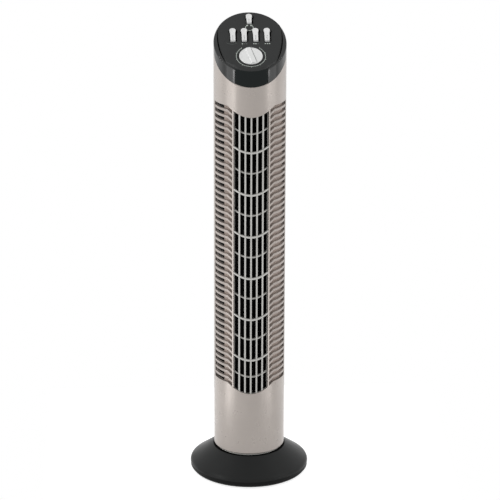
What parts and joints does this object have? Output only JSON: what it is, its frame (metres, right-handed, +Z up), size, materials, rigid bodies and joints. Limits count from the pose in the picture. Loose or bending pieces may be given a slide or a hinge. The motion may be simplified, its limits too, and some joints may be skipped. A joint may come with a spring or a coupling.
{
  "type": "tower fan",
  "caption": "Slim oscillating tower fan: round stand, swivelling cylindrical head with louvred air outlet, crossflow impeller, and a sloping panel of piano keys with a timer knob.",
  "frame": {"origin": "on the floor, under the swivel axis", "axes": "+Z up along the swivel axis; the air outlet and the control panel's low edge face -Y; +X is to the right seen from the front"},
  "size_m": [0.1952, 0.1952, 0.7664],
  "materials": {
    "stand_plastic": "satin charcoal",
    "black_plastic": "satin",
    "housing_plastic": "satin warm grey",
    "cap_plastic": "satin charcoal",
    "front_plate_plastic": "gloss black",
    "control_plastic": "satin white",
    "impeller_plastic": "satin black",
    "inner_plastic": "plain",
    "rubber": "matt",
    "steel": "plain",
    "copper": "enamelled winding",
    "bronze": "sintered"
  },
  "bodies": {
    "stand": {"base_tray": "black_plastic", "base_cover": "stand_plastic", "base_weight": "steel", "rubber_feet": "rubber", "base_screws": "steel", "thrust_ring": "inner_plastic", "swing_guide": "inner_plastic"},
    "head": {"head_floor": "black_plastic", "pivot_tube": "black_plastic", "pivot_washer": "inner_plastic", "retaining_ring": "steel", "floor_screws": "steel", "front_housing": "housing_plastic", "rear_housing": "housing_plastic", "housing_screws": "steel", "front_grille": "housing_plastic", "louvre_panel_left": "housing_plastic", "louvre_panel_right": "housing_plastic", "rear_grille": "housing_plastic", "volute_wall": "housing_plastic", "stabiliser_wall": "housing_plastic", "motor_deck": "black_plastic", "bearing_bridge": "black_plastic", "bush_rubber": "rubber", "upper_bush": "bronze", "motor_lower_shell": "steel", "motor_upper_shell": "steel", "stator_core": "steel", "stator_coils": "copper", "motor_bushes": "bronze", "motor_grommets": "rubber", "motor_screws": "steel", "capacitor": "inner_plastic", "cord_gland": "rubber", "swing_motor": "steel", "swing_motor_screws": "steel", "top_cap": "cap_plastic", "control_panel": "cap_plastic", "front_plate": "front_plate_plastic", "key_bank": "inner_plastic", "timer_unit": "inner_plastic", "swing_switch": "inner_plastic"},
    "impeller": {"impeller": "impeller_plastic", "motor_shaft": "steel", "motor_rotor": "steel", "upper_stub_shaft": "steel"},
    "crank": {"swing_shaft": "steel", "swing_crank": "inner_plastic", "crank_roller": "bronze"},
    "timer": {"timer_knob": "control_plastic", "timer_spindle": "steel"},
    "off_key": {"key_off": "control_plastic"},
    "low_key": {"key_low": "control_plastic"},
    "medium_key": {"key_medium": "control_plastic"},
    "high_key": {"key_high": "control_plastic"},
    "swing_key": {"key_swing": "control_plastic"}
  },
  "joints": [
    {"name": "head_swing", "type": "hinge", "parent": "stand", "child": "head", "pos_m": [0, 0, 0.0445], "axis": [0, 0, 1], "range_deg": [-35, 35]},
    {"name": "crank_spin", "type": "hinge", "parent": "head", "child": "crank", "pos_m": [0, 0.02599, 0.042], "axis": [0, 0, 1], "range_deg": [-125.1, 125.1]},
    {"name": "impeller_spin", "type": "hinge", "parent": "head", "child": "impeller", "pos_m": [0, 0, 0.396], "axis": [0, 0, 1], "continuous": true},
    {"name": "timer_turn", "type": "hinge", "parent": "head", "child": "timer", "pos_m": [0, -0.03249, 0.71833], "axis": [0, -0.4756, 0.8796], "range_deg": [-300, 0]},
    {"name": "off_press", "type": "slide", "parent": "head", "child": "off_key", "axis": [0, 0.4756, -0.8796], "range_m": [0, 0.0024], "stiffness_N_per_m": 500, "springref_m": -0.002},
    {"name": "low_press", "type": "slide", "parent": "head", "child": "low_key", "axis": [0, 0.4756, -0.8796], "range_m": [0, 0.0024], "stiffness_N_per_m": 500, "springref_m": -0.002},
    {"name": "medium_press", "type": "slide", "parent": "head", "child": "medium_key", "axis": [0, 0.4756, -0.8796], "range_m": [0, 0.0024], "stiffness_N_per_m": 500, "springref_m": -0.002},
    {"name": "high_press", "type": "slide", "parent": "head", "child": "high_key", "axis": [0, 0.4756, -0.8796], "range_m": [0, 0.0024], "stiffness_N_per_m": 500, "springref_m": -0.002},
    {"name": "swing_press", "type": "slide", "parent": "head", "child": "swing_key", "axis": [0, 0.4756, -0.8796], "range_m": [0, 0.0024], "stiffness_N_per_m": 500, "springref_m": -0.002}
  ],
  "couplings": [
    {"joint": "crank_spin", "follows": "head_swing", "ratio": -3.5714}
  ]
}
